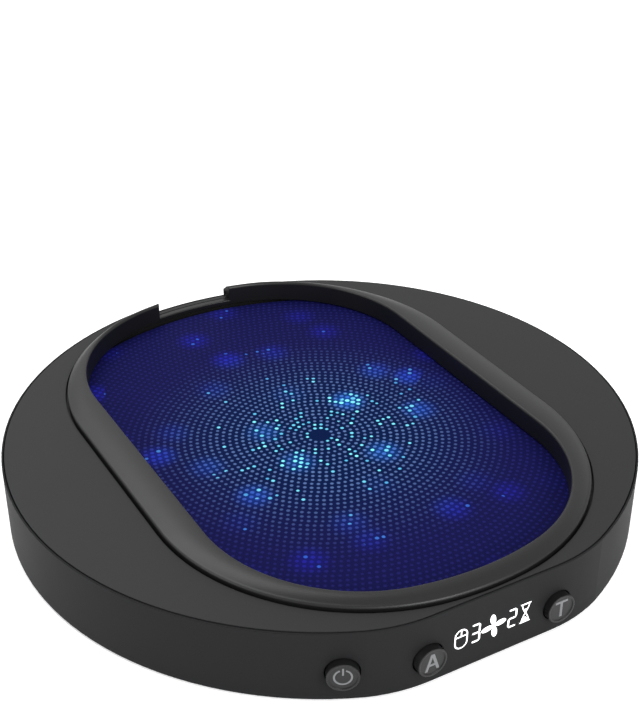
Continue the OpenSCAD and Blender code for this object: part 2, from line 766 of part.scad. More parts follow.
module reduction_gear() {
    small_phase = gear_angle + 180 + 180 / small_teeth;
    color("#e9e5d8") translate(gear_pos) difference() {
        union() {
            slab(small_z, drive_top_z + gear_over) gear_outline(small_teeth, table_module, small_phase);
            disc(small_pitch_r - dedendum * table_module, drive_top_z, large_z + cut);
            slab(large_z, large_top_z) gear_outline(large_teeth, motor_module, motor_angle);
        }
        disc(pin_r + run_fit, small_z - cut, large_top_z + cut);
    }
}
module reduction_pin() {
    color("#c9cbce") translate(gear_pos) disc(pin_r, under_z + socket_floor, pin_top_z);
}
module reduction_clip() {
    color("#a7a9ac") translate(gear_pos) difference() {
        disc(pin_r + 1.5, pin_top_z - pin_clip_t, pin_top_z);
        disc(pin_r, pin_top_z - pin_clip_t - cut, pin_top_z + cut);
    }
}
module motor_can() {
    color("#b9bcc0") translate(motor_pos) difference() {
        disc(motor_r, floor_z, ear_plate_z);
        disc(shaft_r + run_fit, shaft_z - 0.3, ear_plate_z + cut);
    }
}
module motor_plate() {
    color("#cfd1d4") difference() {
        union() {
            translate(motor_pos) {
                disc(motor_r - 0.6, ear_plate_z, ear_plate_z + ear_plate_t);
                disc(shaft_r + 1.6, ear_plate_z, ear_plate_z + ear_plate_t + ear_boss_h);
                rotate([0, 0, motor_angle]) box([-ear_r, ear_r], [-ear_ring_r, ear_ring_r],
                    [ear_plate_z, ear_plate_z + ear_plate_t]);
            }
            at_motor_ears() disc(ear_r, ear_plate_z, ear_plate_z + ear_plate_t);
        }
        translate(motor_pos) disc(shaft_r + run_fit, ear_plate_z - cut, pinion_z);
        at_motor_ears() disc(motor_screw_r + part_gap / 2, ear_plate_z - cut, pinion_z);
    }
}
module motor_shaft() {
    color("#d5d7da") translate(motor_pos) disc(shaft_r, shaft_z, pinion_top_z + 0.4);
}
module motor_pinion() {
    phase = motor_angle + 180 + 180 / pinion_teeth;
    color("#c8a24a") translate(motor_pos) difference() {
        slab(pinion_z, pinion_top_z) gear_outline(pinion_teeth, motor_module, phase);
        disc(shaft_r, pinion_z - cut, pinion_top_z + cut);
    }
}
module motor_screws() {
    plate_top = ear_plate_z + ear_plate_t;
    color("#9a9c9f") at_motor_ears() difference() {
        pan_screw(motor_screw_r, motor_head_r, plate_top + motor_head_t, plate_top, ear_tip_z);
        cross_slot(plate_top + motor_head_t - 0.5, 1, 2.2);
    }
}

// ---------- buttons ----------

module letter_a() {
    difference() {
        polygon([[-1.85, -2.2], [-0.45, 2.2], [0.45, 2.2], [1.85, -2.2], [1.15, -2.2], [0.74, -1],
            [-0.74, -1], [-1.15, -2.2]]);
        polygon([[-0.53, -0.4], [0.53, -0.4], [0, 1.3]]);
    }
}
module letter_t() {
    polygon([[-1.7, 2.2], [1.7, 2.2], [1.7, 1.6], [0.34, 1.6], [0.34, -2.2], [-0.34, -2.2],
        [-0.34, 1.6], [-1.7, 1.6]]);
}
module power_sign() {
    difference() {
        circle(2.1);
        circle(1.68);
        polygon([[0, 0], [-1.1, 3], [1.1, 3]]);
    }
    translate([-0.2, 0.5]) square([0.4, 1.9]);
}
module legend_shape(name) {
    if (name == "power") power_sign();
    if (name == "mode") letter_a();
    if (name == "timer") letter_t();
}
module key_cap(name, axis_z) {
    difference() {
        union() {
            disc(key_r, -side_wall - flange_gap - cut, key_proud);
            intersection() {
                disc(flange_r, -side_wall - flange_gap - flange_t, -side_wall - flange_gap);
                box([-far, far], [-far, flange_top_z - axis_z], [-far, far]);
            }
            disc(stem_r, -side_wall - flange_gap - flange_t - stem_len,
                -side_wall - flange_gap - flange_t + cut);
        }
        disc(key_dish_r, key_proud - key_dish, key_proud + cut);
        slab(key_proud - key_dish - legend_t, key_proud) legend_shape(name);
    }
}
module key_legend(name) {
    slab(key_proud - key_dish - legend_t, key_proud - key_dish) legend_shape(name);
}
module key_plunger() {
    disc(plunger_r, -switch_front - plunger_in, -switch_front + plunger_out);
}
module switch_body() {
    difference() {
        box([-1, 1] * switch_w / 2, [-1, 1] * switch_w / 2, [-switch_back, -switch_front]);
        disc(plunger_r + part_gap / 2, -switch_front - plunger_in - key_travel - 0.3,
            -switch_front + cut);
    }
}
module power_button() {
    color("#2e2e30") at_power() key_cap("power", power_axis_z);
}
module power_legend() {
    color("#8b8c8f") at_power() key_legend("power");
}
module power_plunger() {
    color("#111111") at_power() key_plunger();
}
module mode_button() {
    color("#2e2e30") at_front(-key_x) key_cap("mode", key_axis_z);
}
module mode_legend() {
    color("#8b8c8f") at_front(-key_x) key_legend("mode");
}
module mode_plunger() {
    color("#111111") at_front(-key_x) key_plunger();
}
module timer_button() {
    color("#2e2e30") at_front(key_x) key_cap("timer", key_axis_z);
}
module timer_legend() {
    color("#8b8c8f") at_front(key_x) key_legend("timer");
}
module timer_plunger() {
    color("#111111") at_front(key_x) key_plunger();
}
module push_switches() {
    color("#3b3b3b") {
        for (x = [-key_x, key_x]) at_front(x) switch_body();
        at_power() switch_body();
    }
}

// ---------- display ----------

// A flat shape of the panel (x along the panel, y up), laid depth deep into the panel's face
module display_plane(depth) {
    translate([0, -flat_y + inlay_t, display_axis_z]) rotate([90, 0, 0]) linear_extrude(depth)
        children();
}
module mouse_icon(w, h, s) {
    difference() {
        rotate(90) rounded_slot(h, w);
        rotate(90) rounded_slot(h - 2 * s, w - 2 * s);
    }
    intersection() {
        rotate(90) rounded_slot(h, w);
        union() {
            translate([-w / 2, h / 10]) square([w, s]);
            translate([-s / 2, h / 10]) square([s, h / 2]);
        }
    }
}
// One bar of a seven-segment digit, lying along x with pointed ends
module segment(len, s) {
    polygon([[-len / 2, 0], [-len / 2 + s / 2, s / 2], [len / 2 - s / 2, s / 2], [len / 2, 0],
        [len / 2 - s / 2, -s / 2], [-len / 2 + s / 2, -s / 2]]);
}
// bars: top, right top, right low, bottom, left low, left top, middle
module digit(bars, w, h, s) {
    x = (w - s) / 2;
    y = (h - s) / 2;
    len = [w - s * 1.1, y - s * 0.1];
    places = [[0, y, 0], [x, y / 2, 1], [x, -y / 2, 1], [0, -y, 0], [-x, -y / 2, 1], [-x, y / 2, 1],
        [0, 0, 0]];
    for (b = bars) translate([places[b][0], places[b][1]]) rotate(90 * places[b][2])
        segment(len[places[b][2]], s);
}
module fan_icon(r) {
    circle(r * 0.16);
    for (a = [0:90:270]) rotate(a + 8) polygon([for (t = [0:15:345])
        r * [0.23 * sin(t), 0.56 + 0.46 * cos(t)]]);
}
// One side of the hourglass: its half width grows with the sine of the height, less the inset s
function bulb_side(w, h, s, from, to) = [for (i = [0:8]) let (t = from + (to - from) * i / 8)
    [w * (0.07 + 0.34 * sin(90 * abs(t))) - s, t * h / 2]];
function left_of(side) = [for (i = [len(side) - 1:-1:0]) [-side[i][0], side[i][1]]];
module hourglass_icon(w, h, s) {
    glass = bulb_side(w, h, 0, -0.95, 0.95);
    over_sand = bulb_side(w, h, s, 0.42, 0.86);
    over_heap = bulb_side(w, h, s, -0.6, -0.16);
    for (end = [0, 1]) mirror([0, end]) translate([-w / 2, h / 2 - s]) square([w, s]);
    difference() {
        polygon(concat(glass, left_of(glass)));
        polygon(concat(over_sand, left_of(over_sand)));
        // the heap below stands up into this one
        polygon(concat(over_heap, left_of(over_heap), [[-w * 0.14, -h * 0.3], [0, -h * 0.18],
            [w * 0.14, -h * 0.3]]));
    }
}
module icon_shapes() {
    s = icon_stroke;
    digit_h = icon_h * 0.95;
    translate([icon_mid[0], 0]) mouse_icon(icon_h * 0.64, icon_h, s * 0.7);
    translate([icon_mid[1], 0]) digit([0, 1, 2, 3, 6], icon_h * 0.46, digit_h, s);
    translate([icon_mid[2], 0]) fan_icon(icon_h * 0.6);
    translate([icon_mid[3], 0]) digit([0, 1, 3, 4, 6], icon_h * 0.46, digit_h, s);
    translate([icon_mid[4], 0]) hourglass_icon(icon_h * 0.52, icon_h, s * 0.65);
}
module display_icons() {
    color("#ffffff") display_plane(inlay_t) icon_shapes();
}
module display_mask() {
    chambers = len(icon_mid);
    step = (mask_x1 - mask_x0) / chambers;
    color("#f2f2f2") difference() {
        box([mask_x0, mask_x1], [-flat_y + skin_t, front_board_y], [mask_z, mask_top_z]);
        for (i = [0:chambers - 1])
            box([mask_x0 + i * step + chamber_wall / 2, mask_x0 + (i + 1) * step - chamber_wall / 2],
                [-flat_y + skin_t - cut, front_board_y + cut],
                [mask_z + chamber_wall, mask_top_z - chamber_wall]);
    }
}
module display_lamps() {
    chambers = len(icon_mid);
    step = (mask_x1 - mask_x0) / chambers;
    color("#fdf6d8") for (i = [0:chambers - 1])
        box([mask_x0 + (i + 0.5) * step - 0.8, mask_x0 + (i + 0.5) * step + 0.8],
            [front_board_y - 0.8, front_board_y],
            [(mask_z + mask_top_z) / 2 - 0.6, (mask_z + mask_top_z) / 2 + 0.6]);
}

// ---------- boards ----------

module front_board() {
    color("#1f6b45") box([-front_half_w, front_half_w], [front_board_y, front_board_y + board_t],
        [floor_z, front_board_top]);
}
module power_board() {
    color("#1f6b45") at_power() box([-1, 1] * power_board_half,
        [floor_z - power_axis_z, switch_w / 2 + board_over], [-switch_back - board_t, -switch_back]);
}
module main_board() {
    color("#1f6b45") difference() {
        box([-main_half_w, main_half_w], [main_front_y, main_front_y + main_len],
            [main_z, main_top_z]);
        at_main_posts() disc(board_screw_r + part_gap / 2, main_z - cut, main_top_z + cut);
    }
}
module board_header() {
    color("#181818") box([-header_w / 2, header_w / 2],
        [front_board_y + board_t, main_front_y + header_d], [main_top_z, main_top_z + header_h]);
}
module board_screws() {
    color("#9a9c9f") at_main_posts() difference() {
        pan_screw(board_screw_r, board_head_r, main_top_z + board_head_t, main_top_z, post_tip_z);
        cross_slot(main_top_z + board_head_t - 0.5, 1, 2.2);
    }
}
parts_mid_y = main_front_y + main_len * 0.55;
module controller_chip() {
    color("#151515") translate([0, parts_mid_y, main_top_z]) {
        box([-1, 1] * chip_half, [-1, 1] * chip_half, [pin_t / 2, pin_t / 2 + chip_t]);
        for (a = [0:90:270], k = [-chip_pins:chip_pins]) rotate([0, 0, a])
            translate([k * pin_pitch, 0, 0])
                box([-1, 1] * pin_w / 2, [chip_half - pin_w, chip_half + pin_out], [0, pin_t]);
    }
}
module board_parts() {
    color("#8c7a52") {
        for (side = [-1, 1], k = [0:1], row = [-2:2:2])
            translate([side * (main_half_w - part_edge - k * part_pitch),
                parts_mid_y + row * part_pitch, main_top_z])
                box([-1, 1] * small_part[0] / 2, [-1, 1] * small_part[1] / 2, [0, small_part[2]]);
        // each round part stands beside a screw
        for (k = [0:1])
            translate([(1 - 2 * k) * (main_half_w - main_post_in - board_head_r - 1 - can_r[k]),
                main_front_y + main_len - main_post_in, main_top_z]) disc(can_r[k], 0, can_h[k]);
    }
}

// ---------- power inlet ----------

module inlet_shape(grow) {
    rounded_slot(inlet_w + 2 * grow, inlet_h + 2 * grow);
}
module along_inlet(from, depth) {
    at_inlet() translate([inlet_face_r - from, 0, inlet_z]) rotate([90, 0, -90])
        linear_extrude(depth) children();
}
module inlet_shell() {
    color("#c4c7cb") difference() {
        along_inlet(0, inlet_d) inlet_shape(0);
        along_inlet(-cut, inlet_d + 2 * cut) inlet_shape(-inlet_wall);
    }
}
module inlet_tongue() {
    color("#1a1a1a") {
        along_inlet(inlet_d - tongue_root, tongue_root) inlet_shape(-inlet_wall);
        along_inlet(tongue_back, inlet_d - tongue_root - tongue_back + cut)
            square([inlet_w - 2.4, tongue_t], center = true);
    }
}
module inlet_board() {
    color("#1f6b45") difference() {
        at_inlet() translate([inlet_face_r - inlet_board_back, 0, inlet_board_z])
            box([-inlet_board_d, -0.6], [-1, 1] * inlet_board_w / 2, [0, board_t]);
        at_inlet_posts() disc(board_screw_r + part_gap / 2, inlet_board_z - cut,
            inlet_board_z + board_t + cut);
    }
}
module inlet_screws() {
    top = inlet_board_z + board_t;
    color("#9a9c9f") at_inlet_posts() difference() {
        pan_screw(board_screw_r, board_head_r, top + board_head_t, top, post_tip_z);
        cross_slot(top + board_head_t - 0.5, 1, 2.2);
    }
}

// ---------- inner leads ----------

// A point on the smooth curve through the points p at t, counted in points
function spline(p, t) = let (i = min(floor(t), len(p) - 2), u = t - i,
    a = p[max(i - 1, 0)], b = p[i], c = p[i + 1], d = p[min(i + 2, len(p) - 1)])
    b + u * (c - a) / 2 + u * u * (a - 2.5 * b + 2 * c - d / 2)
        + u * u * u * (b * 1.5 - a / 2 - c * 1.5 + d / 2);
// A tube of radius r along the curve through p, set sideways by shift
module lead(p, r, shift) {
    sides = 8;
    steps = 3;
    n = (len(p) - 1) * steps;
    path = [for (k = [0:n]) spline(p, k / steps)];
    rings = [for (k = [0:n]) let (
        d = path[min(k + 1, n)] - path[max(k - 1, 0)], w = d / norm(d),
        c = cross(w, [0, 0, 1]), u = c / norm(c), v = cross(u, w))
        for (s = [0:sides - 1])
            path[k] + (shift + r * cos(360 * s / sides)) * u + r * sin(360 * s / sides) * v];
    polyhedron(points = rings, faces = concat(
        [[for (s = [0:sides - 1]) s]], [[for (s = [sides - 1:-1:0]) n * sides + s]],
        [for (k = [0:n - 1], s = [0:sides - 1]) let (a = k * sides + s,
            b = k * sides + (s + 1) % sides) each [[a, a + sides, b + sides], [a, b + sides, b]]]));
}
lead_gap = 0.1;
lead_z = floor_z + lead_r + 2 * lead_gap;
lead_shift = lead_r + lead_gap;
lead_rise = 1.2;
lead_end_y = main_front_y + main_len - 9;
lead_end_z = main_top_z + lead_r + lead_gap;
lead_exit = 245;        // direction in which the motor's leads leave its can
lead_run_x = 48;        // the leads pass between the drive gear and the side wall
// The last points of a run that comes up onto the main board's left-hand edge
lead_landing = [
    [-main_half_w - 4, lead_end_y + 2, lead_z + lead_rise],
    [-main_half_w - lead_rise, lead_end_y + 0.6, lead_end_z + 0.3],
    [-main_half_w + 2 * lead_rise, lead_end_y, lead_end_z]];
module motor_leads() {
    out = [cos(lead_exit), sin(lead_exit)];
    start = motor_pos + (motor_r + lead_gap) * out;
    bend = motor_pos + (motor_r + lead_gap + 8) * out;
    color("#a33a34") for (k = [-1, 1])
        lead(concat([[start[0], start[1], lead_z + lead_rise], [bend[0], bend[1], lead_z],
            [2 - lead_run_x, -4, lead_z], [6 - lead_run_x, -20, lead_z],
            [14 - lead_run_x, -32, lead_z]], lead_landing), lead_r, k * lead_shift);
}
module supply_leads() {
    out = [cos(inlet_angle), sin(inlet_angle)];
    edge_r = inlet_face_r - inlet_board_back - inlet_board_d;
    start = (edge_r + 4) * out;
    edge = (edge_r - lead_rise) * out;
    start_z = inlet_board_z + board_t + lead_r + lead_gap;
    color("#3a3a3a") for (k = [-1, 1])
        lead(concat([[start[0], start[1], start_z], [edge[0], edge[1], start_z + lead_gap],
            [lead_run_x - 17, 48, lead_z + lead_rise], [lead_run_x - 3, 28, lead_z],
            [lead_run_x, 4, lead_z], [lead_run_x - 6, -22, lead_z]],
            [for (p = lead_landing) [-p[0], p[1], p[2]]]), lead_r, k * lead_shift);
}

base_cover();
side_housing();
top_cover();
rim_bezel();
rim_screws();
case_screws();
rubber_feet();
turntable();
turntable_film();
hub_bush();
drive_gear();
drive_gear_screws();
spindle();
thrust_washer();
spindle_clip();
glide_pads();
reduction_gear();
reduction_pin();
reduction_clip();
motor_can();
motor_plate();
motor_shaft();
motor_pinion();
motor_screws();
motor_leads();
power_button();
power_legend();
power_plunger();
mode_button();
mode_legend();
mode_plunger();
timer_button();
timer_legend();
timer_plunger();
push_switches();
power_board();
front_board();
main_board();
board_header();
board_screws();
controller_chip();
board_parts();
display_icons();
display_mask();
display_lamps();
inlet_shell();
inlet_tongue();
inlet_board();
inlet_screws();
supply_leads();
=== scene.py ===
"""Looks of a mouse jiggler: a low round desk gadget whose motor turns a printed disc under a mouse.

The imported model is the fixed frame. The rim is drawn here as a smooth swept surface, the other
pieces keep their solids, and every piece gets the finish of its real material. Sizes in the
classes are in millimetres, or in metres where a name ends in _m; the meshes are in metres.
"""

from __future__ import annotations

import logging
import math
from dataclasses import dataclass, field
from enum import Enum
from typing import Mapping, Sequence

import bpy
import numpy as np
from mathutils import Matrix, Vector

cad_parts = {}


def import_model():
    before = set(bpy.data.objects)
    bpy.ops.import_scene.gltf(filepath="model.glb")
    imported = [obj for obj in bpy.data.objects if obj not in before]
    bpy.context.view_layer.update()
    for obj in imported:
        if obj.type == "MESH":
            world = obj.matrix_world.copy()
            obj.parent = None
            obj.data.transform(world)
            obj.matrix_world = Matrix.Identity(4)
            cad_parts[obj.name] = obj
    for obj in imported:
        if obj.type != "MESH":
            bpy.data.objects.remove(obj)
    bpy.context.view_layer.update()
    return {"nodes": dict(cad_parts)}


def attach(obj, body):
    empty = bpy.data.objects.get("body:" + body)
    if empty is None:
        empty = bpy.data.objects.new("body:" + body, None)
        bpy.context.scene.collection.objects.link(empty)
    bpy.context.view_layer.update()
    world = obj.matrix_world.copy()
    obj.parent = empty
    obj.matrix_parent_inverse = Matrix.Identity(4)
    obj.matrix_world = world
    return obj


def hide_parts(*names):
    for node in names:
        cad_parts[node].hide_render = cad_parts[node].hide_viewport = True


LOG = logging.getLogger("mouse_jiggler")
MM = 0.001
SHARP_DEG = 38
WHITE = (1.0, 1.0, 1.0, 1.0)
PLASTIC_IOR = 1.5
BEVEL_SAMPLES = 4


# ---------- small helpers ----------


def linear(hex_colour: str) -> tuple[float, float, float, float]:
    """Turn an sRGB hex colour into linear light.

    Args:
        hex_colour: the colour as "#rrggbb".

    Returns:
        Red, green, blue and an alpha of 1.
    """
    parts = (int(hex_colour[i : i + 2], 16) / 255 for i in (1, 3, 5))
    r, g, b = (c / 12.92 if c <= 0.04045 else ((c + 0.055) / 1.055) ** 2.4 for c in parts)
    return r, g, b, 1.0


def add_node(
    tree: bpy.types.NodeTree,
    kind: str,
    inputs: Mapping[int | str, object] | None = None,
    **settings: object,
) -> bpy.types.Node:
    """Add a node, with its settings, its fixed inputs and its links.

    Args:
        tree: the node tree that gets the node.
        kind: the node's type without its leading "ShaderNode".
        inputs: input name or number to a value, or to the output socket that feeds it.
        settings: the node's own properties.

    Returns:
        The new node.
    """
    node = tree.nodes.new("ShaderNode" + kind)
    for key, value in settings.items():
        setattr(node, key, value)
    for key, value in (inputs or {}).items():
        if isinstance(value, bpy.types.NodeSocket):
            tree.links.new(value, node.inputs[key])
        else:
            node.inputs[key].default_value = value
    return node


def background_rays(tree: bpy.types.NodeTree) -> bpy.types.NodeSocket:
    """Tell the rays that see the plain background from those that only carry light.

    Args:
        tree: the node tree of the floor or of the world.

    Returns:
        A socket that is 1 for camera, glossy and transmission rays, and 0 for the others.
    """
    path = add_node(tree, "LightPath").outputs
    gloss, glass = path["Is Glossy Ray"], path["Is Transmission Ray"]
    mirrored = add_node(tree, "Math", {0: gloss, 1: glass}, operation="MAXIMUM").outputs[0]
    return add_node(
        tree, "Math", {0: path["Is Camera Ray"], 1: mirrored}, operation="MAXIMUM"
    ).outputs[0]


def new_material(name: str) -> tuple[bpy.types.Material, bpy.types.NodeTree]:
    """Make an empty node material.

    Args:
        name: the material's name.

    Returns:
        The material and its cleared node tree.
    """
    material = bpy.data.materials.new(name)
    material.use_nodes = True
    material.node_tree.nodes.clear()
    return material, material.node_tree


def mesh_piece(
    name: str, points: np.ndarray, faces: Sequence[Sequence[int]]
) -> bpy.types.Object:
    """Put points and faces into a new object at the origin.

    Args:
        name: the piece's name.
        points: n by 3 array in millimetres.
        faces: the point numbers of each face.

    Returns:
        The new object, linked to the scene and shaded flat.
    """
    mesh = bpy.data.meshes.new(name)
    mesh.from_pydata((points * MM).tolist(), [], faces)
    mesh.validate()
    piece = bpy.data.objects.new(name, mesh)
    bpy.context.scene.collection.objects.link(piece)
    return piece


def dress(piece: bpy.types.Object, material: bpy.types.Material) -> None:
    """Give every material slot of a piece the one material.

    Args:
        piece: a carried-over node or a new piece.
        material: what it gets.
    """
    if not piece.data.materials:
        piece.data.materials.append(material)
    for slot in piece.material_slots:
        slot.material = material


# ---------- finishes ----------


@dataclass(frozen=True)
class MouldedPlastic:
    """Injection-moulded plastic: an even gloss, broken up by the fine grain of the mould.

    The grain is a bump of the stated size, drawn as coarse as it needs to show. The colour wanders
    by a few per cent in clouds, as pigment does, and the edges catch a thin light because the
    mould leaves them slightly round. Rubber, resin, ceramic and wire sheaths are built alike.
    """

    name: str
    colour: str
    roughness: float = 0.5
    grain_mm: float = 0.35
    grain_height_mm: float = 0.012
    grain_strength: float = 0.6
    wander: float = 0.06
    edge_mm: float = 0.3
    gloss: float = 0.45
    cloud_mm: float = 18.0
    rough_spread: float = 0.04

    def build(self) -> bpy.types.Material:
        """Build the material.

        Returns:
            The finished material.
        """
        material, tree = new_material(self.name)
        place = add_node(tree, "TexCoord").outputs["Object"]
        cloud = add_node(
            tree, "TexNoise", {"Vector": place, "Scale": 1 / (self.cloud_mm * MM), "Detail": 3.0}
        )
        grain = add_node(
            tree, "TexNoise", {"Vector": place, "Scale": 1 / (self.grain_mm * MM), "Detail": 2.0}
        )
        base = linear(self.colour)
        low = tuple(c * (1 - self.wander) for c in base[:3]) + (1.0,)
        high = tuple(c * (1 + self.wander) for c in base[:3]) + (1.0,)
        colour = add_node(
            tree, "Mix", {0: cloud.outputs["Fac"], 6: low, 7: high}, data_type="RGBA"
        )
        rough = add_node(
            tree,
            "MapRange",
            {
                "Value": cloud.outputs["Fac"],
                "To Min": self.roughness - self.rough_spread,
                "To Max": self.roughness + self.rough_spread,
            },
        )
        edge = add_node(tree, "Bevel", {"Radius": self.edge_mm * MM}, samples=BEVEL_SAMPLES)
        bump = add_node(
            tree,
            "Bump",
            {
                "Height": grain.outputs["Fac"],
                "Distance": self.grain_height_mm * MM,
                "Strength": self.grain_strength,
                "Normal": edge.outputs["Normal"],
            },
        )
        shader = add_node(
            tree,
            "BsdfPrincipled",
            {
                "Base Color": colour.outputs[2],
                "Roughness": rough.outputs["Result"],
                "Normal": bump.outputs["Normal"],
                "IOR": PLASTIC_IOR,
                "Specular IOR Level": self.gloss,
            },
        )
        add_node(tree, "OutputMaterial", {"Surface": shader.outputs["BSDF"]})
        return material


@dataclass(frozen=True)
class Metal:
    """Plated, ground or turned metal: bright, with fine lines left by the tool.

    The lines lie across Z, line_run times longer than wide. Handling leaves smears, so that the
    roughness wanders between brighter below its value and duller above it.
    """

    name: str
    colour: str
    roughness: float = 0.3
    line_mm: float = 0.25
    line_height_mm: float = 0.004
    line_run: float = 14.0
    line_strength: float = 0.5
    smear_mm: float = 6.0
    brighter: float = 0.08
    duller: float = 0.1
    edge_mm: float = 0.15

    def build(self) -> bpy.types.Material:
        """Build the material.

        Returns:
            The finished material.
        """
        material, tree = new_material(self.name)
        place = add_node(tree, "TexCoord").outputs["Object"]
        along, across = 1 / (self.line_mm * self.line_run * MM), 1 / (self.line_mm * MM)
        lines = add_node(tree, "Mapping", {"Vector": place, "Scale": (along, along, across)})
        grain = add_node(
            tree, "TexNoise", {"Vector": lines.outputs["Vector"], "Scale": 1.0, "Detail": 2.0}
        )
        smear = add_node(
            tree, "TexNoise", {"Vector": place, "Scale": 1 / (self.smear_mm * MM), "Detail": 2.0}
        )
        rough = add_node(
            tree,
            "MapRange",
            {
                "Value": smear.outputs["Fac"],
                "To Min": self.roughness - self.brighter,
                "To Max": self.roughness + self.duller,
            },
        )
        edge = add_node(tree, "Bevel", {"Radius": self.edge_mm * MM}, samples=BEVEL_SAMPLES)
        bump = add_node(
            tree,
            "Bump",
            {
                "Height": grain.outputs["Fac"],
                "Distance": self.line_height_mm * MM,
                "Strength": self.line_strength,
                "Normal": edge.outputs["Normal"],
            },
        )
        shader = add_node(
            tree,
            "BsdfPrincipled",
            {
                "Base Color": linear(self.colour),
                "Metallic": 1.0,
                "Roughness": rough.outputs["Result"],
                "Normal": bump.outputs["Normal"],
            },
        )
        add_node(tree, "OutputMaterial", {"Surface": shader.outputs["BSDF"]})
        return material


@dataclass(frozen=True)
class PrintedFilm:
    """Printed polyester film with a matt face: a deep blue ground with rings of small dots.

    Dot j of ring k lies at radius k * ring_mm and at angle (j + 1/2) / n of a turn, where n is
    2 pi k rounded, so that the dots along a ring are as far apart as the rings. A hash of (k, j)
    gives each dot a draw from 0 to 1, and a dot is a bright spark where its draw passes a bar that
    rises from bar_low to 1 over bar_mm. Groups lie in cells about group_pitch_mm wide, one in
    each: there the dots swell, the ground glows and the bar dips by up to bar_dip. The groups
    weaken to group_far over near_mm, and all colours go from middle to edge over fade_mm.
    """

    name: str
    ring_mm: float = 1.66
    first_ring: int = 2
    dot_mm: float = 0.36
    dot_spread_mm: float = 0.1
    dot_swell_mm: float = 0.25
    dot_blur_mm: float = 0.14
    group_pitch_mm: float = 19.0
    group_mm: float = 6.5
    group_core: float = 0.02
    group_scatter: float = 0.9
    group_far: float = 0.6
    near_mm: tuple[float, float] = (26.0, 44.0)
    fade_mm: tuple[float, float] = (12.0, 52.0)
    bar_mm: tuple[float, float] = (3.0, 36.0)
    bar_low: float = 0.73
    bar_dip: float = 0.4
    halo: float = 0.4
    roughness: float = 0.6
    gloss: float = 0.02
    ground_middle: str = "#02143b"
    ground_edge: str = "#10103e"
    dot_middle: str = "#4e6896"
    dot_edge: str = "#1a1a54"
    spark: str = "#7fe9f5"
    spark_dim: str = "#4fa6cf"
    spark_edge: str = "#2b4fae"
    glow_middle: str = "#1f66c8"
    glow_edge: str = "#2020b4"
    seed: float = 7.3

    def build(self) -> bpy.types.Material:
        """Build the material.

        Returns:
            The finished material.
        """
        material, tree = new_material(self.name)
        place = add_node(tree, "TexCoord").outputs["Object"]
        flat = add_node(
            tree, "VectorMath", {0: place, 1: (1 / MM, 1 / MM, 0.0)}, operation="MULTIPLY"
        ).outputs[0]
        radius = add_node(tree, "VectorMath", {0: flat}, operation="LENGTH").outputs["Value"]
        xyz = add_node(tree, "SeparateXYZ", {0: flat})
        angle = add_node(
            tree, "Math", {0: xyz.outputs["Y"], 1: xyz.outputs["X"]}, operation="ARCTAN2"
        ).outputs[0]
        turn = add_node(
            tree, "Math", {0: angle, 1: 1 / math.tau, 2: 0.5}, operation="MULTIPLY_ADD"
        ).outputs[0]
        rings = add_node(
            tree, "Math", {0: radius, 1: 1 / self.ring_mm}, operation="MULTIPLY"
        ).outputs[0]
        ring = add_node(tree, "Math", {0: rings}, operation="ROUND").outputs[0]
        around = add_node(tree, "Math", {0: ring, 1: math.tau}, operation="MULTIPLY").outputs[0]
        count = add_node(tree, "Math", {0: around}, operation="ROUND").outputs[0]
        steps = add_node(tree, "Math", {0: turn, 1: count}, operation="MULTIPLY").outputs[0]
        number = add_node(tree, "Math", {0: steps}, operation="FLOOR").outputs[0]
        part = add_node(tree, "Math", {0: steps}, operation="FRACT").outputs[0]
        # distance from the dot's middle: across the ring, and along it
        off = add_node(tree, "Math", {0: rings, 1: ring}, operation="SUBTRACT").outputs[0]
        across = add_node(tree, "Math", {0: off, 1: self.ring_mm}, operation="MULTIPLY").outputs[0]
        middle = add_node(tree, "Math", {0: part, 1: 0.5}, operation="SUBTRACT").outputs[0]
        arc = add_node(tree, "Math", {0: radius, 1: math.tau}, operation="MULTIPLY").outputs[0]
        pitch = add_node(tree, "Math", {0: arc, 1: count}, operation="DIVIDE").outputs[0]
        along = add_node(tree, "Math", {0: middle, 1: pitch}, operation="MULTIPLY").outputs[0]
        apart = add_node(tree, "CombineXYZ", {0: across, 1: along, 2: 0.0}).outputs[0]
        distance = add_node(tree, "VectorMath", {0: apart}, operation="LENGTH").outputs["Value"]
        # the hash of each dot, and the cells that carry one group each
        key = add_node(tree, "CombineXYZ", {0: ring, 1: number, 2: self.seed}).outputs[0]
        chance = add_node(tree, "TexWhiteNoise", {"Vector": key}, noise_dimensions="3D")
        draws = add_node(tree, "SeparateColor", {0: chance.outputs["Color"]})
        cells = add_node(
            tree,
            "TexVoronoi",
            {
                "Vector": flat,
                "Scale": 1 / self.group_pitch_mm,
                "Randomness": self.group_scatter,
            },
            voronoi_dimensions="2D",
        )
        blob = add_node(
            tree,
            "MapRange",
            {
                "Value": cells.outputs["Distance"],
                "From Min": self.group_core,
                "From Max": self.group_mm / self.group_pitch_mm,
                "To Min": 1.0,
                "To Max": 0.0,
            },
            interpolation_type="SMOOTHSTEP",
        ).outputs["Result"]
        power = add_node(tree, "SeparateColor", {0: cells.outputs["Color"]}).outputs[0]
        near = add_node(
            tree,
            "MapRange",
            {
                "Value": radius,
                "From Min": self.near_mm[0],
                "From Max": self.near_mm[1],
                "To Min": 1.0,
                "To Max": self.group_far,
            },
            interpolation_type="SMOOTHSTEP",
        ).outputs["Result"]
        strong = add_node(tree, "Math", {0: power, 1: near}, operation="MULTIPLY").outputs[0]
        group = add_node(tree, "Math", {0: blob, 1: strong}, operation="MULTIPLY").outputs[0]
        fade = add_node(
            tree,
            "MapRange",
            {
                "Value": radius,
                "From Min": self.fade_mm[0],
                "From Max": self.fade_mm[1],
                "To Min": 1.0,
                "To Max": 0.0,
            },
            interpolation_type="SMOOTHSTEP",
        ).outputs["Result"]
